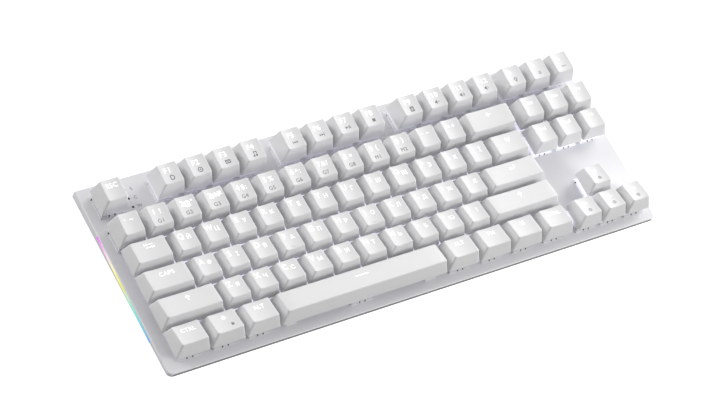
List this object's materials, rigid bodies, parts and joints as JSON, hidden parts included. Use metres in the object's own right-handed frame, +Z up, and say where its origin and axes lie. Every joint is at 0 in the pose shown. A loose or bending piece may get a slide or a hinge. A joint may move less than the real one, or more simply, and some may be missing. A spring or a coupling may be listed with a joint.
{
  "type": "mechanical keyboard",
  "caption": "Tenkeyless mechanical keyboard with sculpted keycaps that travel, stabilised wide keys, side light bars, tilt feet and a rear cable socket.",
  "frame": {"origin": "middle of the keyboard's outline, on the desk", "axes": "+X to the right along the rows of keys, +Y to the back, +Z up"},
  "size_m": [0.3562, 0.1288, 0.039],
  "materials": {
    "keycap_plastic": "fine matte ABS, double-shot legends",
    "case_plastic": "fine grained matte",
    "cover_paint": "satin white powder coat on aluminium",
    "board_laminate": "white solder mask",
    "housing_plastic": "moulded nylon",
    "clear_plastic": "clear polycarbonate",
    "spring_steel": "bright drawn wire",
    "led_lens": "milky encapsulant",
    "chip_resin": "moulded epoxy",
    "socket_steel": "nickel plated",
    "light_bar_acrylic": "frosted acrylic",
    "indicator_lens": "smoked",
    "screw_steel": "zinc plated",
    "foot_rubber": "soft matte"
  },
  "bodies": {
    "base": {"bottom_case": "case_plastic", "top_plate": "cover_paint", "circuit_board": "board_laminate", "switch_bottom_housings": "housing_plastic", "switch_top_housings": "clear_plastic", "switch_springs": "spring_steel", "stabiliser_housings": "housing_plastic", "key_leds": "led_lens", "controller_chip": "chip_resin", "usb_socket": "socket_steel", "light_bar_left": "light_bar_acrylic", "light_bar_right": "light_bar_acrylic", "side_led_boards": "board_laminate", "indicator_lenses": "indicator_lens", "case_screws": "screw_steel", "rubber_feet": "foot_rubber"},
    "key_escape": {"key_escape": "keycap_plastic"},
    "keys_f1_to_f4": {"keys_f1_to_f4": "keycap_plastic"},
    "keys_f5_to_f8": {"keys_f5_to_f8": "keycap_plastic"},
    "keys_f9_to_f12": {"keys_f9_to_f12": "keycap_plastic"},
    "keys_number_left": {"keys_number_left": "keycap_plastic"},
    "keys_number_right": {"keys_number_right": "keycap_plastic"},
    "key_backspace": {"key_backspace": "keycap_plastic"},
    "key_tab": {"key_tab": "keycap_plastic"},
    "keys_upper_left": {"keys_upper_left": "keycap_plastic"},
    "keys_upper_right": {"keys_upper_right": "keycap_plastic"},
    "key_backslash": {"key_backslash": "keycap_plastic"},
    "key_caps_lock": {"key_caps_lock": "keycap_plastic"},
    "keys_home_left": {"keys_home_left": "keycap_plastic"},
    "keys_home_right": {"keys_home_right": "keycap_plastic"},
    "key_enter": {"key_enter": "keycap_plastic"},
    "key_left_shift": {"key_left_shift": "keycap_plastic"},
    "keys_lower_left": {"keys_lower_left": "keycap_plastic"},
    "keys_lower_right": {"keys_lower_right": "keycap_plastic"},
    "key_right_shift": {"key_right_shift": "keycap_plastic"},
    "key_left_control": {"key_left_control": "keycap_plastic"},
    "key_left_super": {"key_left_super": "keycap_plastic"},
    "key_left_alt": {"key_left_alt": "keycap_plastic"},
    "key_space": {"key_space": "keycap_plastic"},
    "key_right_alt": {"key_right_alt": "keycap_plastic"},
    "key_function": {"key_function": "keycap_plastic"},
    "key_menu": {"key_menu": "keycap_plastic"},
    "key_right_control": {"key_right_control": "keycap_plastic"},
    "keys_print_scroll_pause": {"keys_print_scroll_pause": "keycap_plastic"},
    "keys_insert_home_page_up": {"keys_insert_home_page_up": "keycap_plastic"},
    "keys_delete_end_page_down": {"keys_delete_end_page_down": "keycap_plastic"},
    "key_arrow_up": {"key_arrow_up": "keycap_plastic"},
    "key_arrow_left": {"key_arrow_left": "keycap_plastic"},
    "key_arrow_down": {"key_arrow_down": "keycap_plastic"},
    "key_arrow_right": {"key_arrow_right": "keycap_plastic"},
    "stabiliser_wire_backspace": {"stabiliser_wire_backspace": "spring_steel"},
    "stabiliser_wire_enter": {"stabiliser_wire_enter": "spring_steel"},
    "stabiliser_wire_left_shift": {"stabiliser_wire_left_shift": "spring_steel"},
    "stabiliser_wire_right_shift": {"stabiliser_wire_right_shift": "spring_steel"},
    "stabiliser_wire_space": {"stabiliser_wire_space": "spring_steel"},
    "tilt_foot_left": {"tilt_foot_left": "case_plastic", "tilt_foot_pad_left": "foot_rubber"},
    "tilt_foot_right": {"tilt_foot_right": "case_plastic", "tilt_foot_pad_right": "foot_rubber"}
  },
  "joints": [
    {"name": "key_escape_press", "type": "slide", "parent": "base", "child": "key_escape", "axis": [0, -0.0698, 0.9976], "range_m": [-0.004, 0], "stiffness_N_per_m": 60, "springref_m": 0.00583, "deforming": ["switch_springs"]},
    {"name": "keys_f1_to_f4_press", "type": "slide", "parent": "base", "child": "keys_f1_to_f4", "axis": [0, -0.0698, 0.9976], "range_m": [-0.004, 0], "stiffness_N_per_m": 240, "springref_m": 0.00583, "deforming": ["switch_springs"]},
    {"name": "keys_f5_to_f8_press", "type": "slide", "parent": "base", "child": "keys_f5_to_f8", "axis": [0, -0.0698, 0.9976], "range_m": [-0.004, 0], "stiffness_N_per_m": 240, "springref_m": 0.00583, "deforming": ["switch_springs"]},
    {"name": "keys_f9_to_f12_press", "type": "slide", "parent": "base", "child": "keys_f9_to_f12", "axis": [0, -0.0698, 0.9976], "range_m": [-0.004, 0], "stiffness_N_per_m": 240, "springref_m": 0.00583, "deforming": ["switch_springs"]},
    {"name": "keys_number_left_press", "type": "slide", "parent": "base", "child": "keys_number_left", "axis": [0, -0.0698, 0.9976], "range_m": [-0.004, 0], "stiffness_N_per_m": 420, "springref_m": 0.00583, "deforming": ["switch_springs"]},
    {"name": "keys_number_right_press", "type": "slide", "parent": "base", "child": "keys_number_right", "axis": [0, -0.0698, 0.9976], "range_m": [-0.004, 0], "stiffness_N_per_m": 360, "springref_m": 0.00583, "deforming": ["switch_springs"]},
    {"name": "key_backspace_press", "type": "slide", "parent": "base", "child": "key_backspace", "axis": [0, -0.0698, 0.9976], "range_m": [-0.004, 0], "stiffness_N_per_m": 60, "springref_m": 0.00583, "deforming": ["switch_springs"]},
    {"name": "key_tab_press", "type": "slide", "parent": "base", "child": "key_tab", "axis": [0, -0.0698, 0.9976], "range_m": [-0.004, 0], "stiffness_N_per_m": 60, "springref_m": 0.00583, "deforming": ["switch_springs"]},
    {"name": "keys_upper_left_press", "type": "slide", "parent": "base", "child": "keys_upper_left", "axis": [0, -0.0698, 0.9976], "range_m": [-0.004, 0], "stiffness_N_per_m": 300, "springref_m": 0.00583, "deforming": ["switch_springs"]},
    {"name": "keys_upper_right_press", "type": "slide", "parent": "base", "child": "keys_upper_right", "axis": [0, -0.0698, 0.9976], "range_m": [-0.004, 0], "stiffness_N_per_m": 420, "springref_m": 0.00583, "deforming": ["switch_springs"]},
    {"name": "key_backslash_press", "type": "slide", "parent": "base", "child": "key_backslash", "axis": [0, -0.0698, 0.9976], "range_m": [-0.004, 0], "stiffness_N_per_m": 60, "springref_m": 0.00583, "deforming": ["switch_springs"]},
    {"name": "key_caps_lock_press", "type": "slide", "parent": "base", "child": "key_caps_lock", "axis": [0, -0.0698, 0.9976], "range_m": [-0.004, 0], "stiffness_N_per_m": 60, "springref_m": 0.00583, "deforming": ["switch_springs"]},
    {"name": "keys_home_left_press", "type": "slide", "parent": "base", "child": "keys_home_left", "axis": [0, -0.0698, 0.9976], "range_m": [-0.004, 0], "stiffness_N_per_m": 300, "springref_m": 0.00583, "deforming": ["switch_springs"]},
    {"name": "keys_home_right_press", "type": "slide", "parent": "base", "child": "keys_home_right", "axis": [0, -0.0698, 0.9976], "range_m": [-0.004, 0], "stiffness_N_per_m": 360, "springref_m": 0.00583, "deforming": ["switch_springs"]},
    {"name": "key_enter_press", "type": "slide", "parent": "base", "child": "key_enter", "axis": [0, -0.0698, 0.9976], "range_m": [-0.004, 0], "stiffness_N_per_m": 60, "springref_m": 0.00583, "deforming": ["switch_springs"]},
    {"name": "key_left_shift_press", "type": "slide", "parent": "base", "child": "key_left_shift", "axis": [0, -0.0698, 0.9976], "range_m": [-0.004, 0], "stiffness_N_per_m": 60, "springref_m": 0.00583, "deforming": ["switch_springs"]},
    {"name": "keys_lower_left_press", "type": "slide", "parent": "base", "child": "keys_lower_left", "axis": [0, -0.0698, 0.9976], "range_m": [-0.004, 0], "stiffness_N_per_m": 300, "springref_m": 0.00583, "deforming": ["switch_springs"]},
    {"name": "keys_lower_right_press", "type": "slide", "parent": "base", "child": "keys_lower_right", "axis": [0, -0.0698, 0.9976], "range_m": [-0.004, 0], "stiffness_N_per_m": 300, "springref_m": 0.00583, "deforming": ["switch_springs"]},
    {"name": "key_right_shift_press", "type": "slide", "parent": "base", "child": "key_right_shift", "axis": [0, -0.0698, 0.9976], "range_m": [-0.004, 0], "stiffness_N_per_m": 60, "springref_m": 0.00583, "deforming": ["switch_springs"]},
    {"name": "key_left_control_press", "type": "slide", "parent": "base", "child": "key_left_control", "axis": [0, -0.0698, 0.9976], "range_m": [-0.004, 0], "stiffness_N_per_m": 60, "springref_m": 0.00583, "deforming": ["switch_springs"]},
    {"name": "key_left_super_press", "type": "slide", "parent": "base", "child": "key_left_super", "axis": [0, -0.0698, 0.9976], "range_m": [-0.004, 0], "stiffness_N_per_m": 60, "springref_m": 0.00583, "deforming": ["switch_springs"]},
    {"name": "key_left_alt_press", "type": "slide", "parent": "base", "child": "key_left_alt", "axis": [0, -0.0698, 0.9976], "range_m": [-0.004, 0], "stiffness_N_per_m": 60, "springref_m": 0.00583, "deforming": ["switch_springs"]},
    {"name": "key_space_press", "type": "slide", "parent": "base", "child": "key_space", "axis": [0, -0.0698, 0.9976], "range_m": [-0.004, 0], "stiffness_N_per_m": 60, "springref_m": 0.00583, "deforming": ["switch_springs"]},
    {"name": "key_right_alt_press", "type": "slide", "parent": "base", "child": "key_right_alt", "axis": [0, -0.0698, 0.9976], "range_m": [-0.004, 0], "stiffness_N_per_m": 60, "springref_m": 0.00583, "deforming": ["switch_springs"]},
    {"name": "key_function_press", "type": "slide", "parent": "base", "child": "key_function", "axis": [0, -0.0698, 0.9976], "range_m": [-0.004, 0], "stiffness_N_per_m": 60, "springref_m": 0.00583, "deforming": ["switch_springs"]},
    {"name": "key_menu_press", "type": "slide", "parent": "base", "child": "key_menu", "axis": [0, -0.0698, 0.9976], "range_m": [-0.004, 0], "stiffness_N_per_m": 60, "springref_m": 0.00583, "deforming": ["switch_springs"]},
    {"name": "key_right_control_press", "type": "slide", "parent": "base", "child": "key_right_control", "axis": [0, -0.0698, 0.9976], "range_m": [-0.004, 0], "stiffness_N_per_m": 60, "springref_m": 0.00583, "deforming": ["switch_springs"]},
    {"name": "keys_print_scroll_pause_press", "type": "slide", "parent": "base", "child": "keys_print_scroll_pause", "axis": [0, -0.0698, 0.9976], "range_m": [-0.004, 0], "stiffness_N_per_m": 180, "springref_m": 0.00583, "deforming": ["switch_springs"]},
    {"name": "keys_insert_home_page_up_press", "type": "slide", "parent": "base", "child": "keys_insert_home_page_up", "axis": [0, -0.0698, 0.9976], "range_m": [-0.004, 0], "stiffness_N_per_m": 180, "springref_m": 0.00583, "deforming": ["switch_springs"]},
    {"name": "keys_delete_end_page_down_press", "type": "slide", "parent": "base", "child": "keys_delete_end_page_down", "axis": [0, -0.0698, 0.9976], "range_m": [-0.004, 0], "stiffness_N_per_m": 180, "springref_m": 0.00583, "deforming": ["switch_springs"]},
    {"name": "key_arrow_up_press", "type": "slide", "parent": "base", "child": "key_arrow_up", "axis": [0, -0.0698, 0.9976], "range_m": [-0.004, 0], "stiffness_N_per_m": 60, "springref_m": 0.00583, "deforming": ["switch_springs"]},
    {"name": "key_arrow_left_press", "type": "slide", "parent": "base", "child": "key_arrow_left", "axis": [0, -0.0698, 0.9976], "range_m": [-0.004, 0], "stiffness_N_per_m": 60, "springref_m": 0.00583, "deforming": ["switch_springs"]},
    {"name": "key_arrow_down_press", "type": "slide", "parent": "base", "child": "key_arrow_down", "axis": [0, -0.0698, 0.9976], "range_m": [-0.004, 0], "stiffness_N_per_m": 60, "springref_m": 0.00583, "deforming": ["switch_springs"]},
    {"name": "key_arrow_right_press", "type": "slide", "parent": "base", "child": "key_arrow_right", "axis": [0, -0.0698, 0.9976], "range_m": [-0.004, 0], "stiffness_N_per_m": 60, "springref_m": 0.00583, "deforming": ["switch_springs"]},
    {"name": "stabiliser_wire_backspace_swing", "type": "hinge", "parent": "base", "child": "stabiliser_wire_backspace", "pos_m": [0.0934, 0.03448, 0.0203], "axis": [-1, 0, 0], "range_deg": [-27, 0]},
    {"name": "stabiliser_wire_enter_swing", "type": "hinge", "parent": "base", "child": "stabiliser_wire_enter", "pos_m": [0.09102, -0.00352, 0.01764], "axis": [-1, 0, 0], "range_deg": [-27, 0]},
    {"name": "stabiliser_wire_left_shift_swing", "type": "hinge", "parent": "base", "child": "stabiliser_wire_left_shift", "pos_m": [-0.15187, -0.02253, 0.01631], "axis": [-1, 0, 0], "range_deg": [-27, 0]},
    {"name": "stabiliser_wire_right_shift_swing", "type": "hinge", "parent": "base", "child": "stabiliser_wire_right_shift", "pos_m": [0.08626, -0.02253, 0.01631], "axis": [-1, 0, 0], "range_deg": [-27, 0]},
    {"name": "stabiliser_wire_space_swing", "type": "hinge", "parent": "base", "child": "stabiliser_wire_space", "pos_m": [-0.04233, -0.04153, 0.01498], "axis": [-1, 0, 0], "range_deg": [-27, 0]},
    {"name": "tilt_foot_left_fold", "type": "hinge", "parent": "base", "child": "tilt_foot_left", "pos_m": [-0.0981, 0.04533, 0.004], "axis": [1, 0, 0], "range_deg": [0, 90]},
    {"name": "tilt_foot_right_fold", "type": "hinge", "parent": "base", "child": "tilt_foot_right", "pos_m": [0.0981, 0.04533, 0.004], "axis": [1, 0, 0], "range_deg": [0, 90]}
  ],
  "couplings": [
    {"joint": "stabiliser_wire_backspace_swing", "follows": "key_backspace_press", "rad_per_m": 115.98},
    {"joint": "stabiliser_wire_enter_swing", "follows": "key_enter_press", "rad_per_m": 115.98},
    {"joint": "stabiliser_wire_left_shift_swing", "follows": "key_left_shift_press", "rad_per_m": 115.98},
    {"joint": "stabiliser_wire_right_shift_swing", "follows": "key_right_shift_press", "rad_per_m": 115.98},
    {"joint": "stabiliser_wire_space_swing", "follows": "key_space_press", "rad_per_m": 115.98}
  ]
}
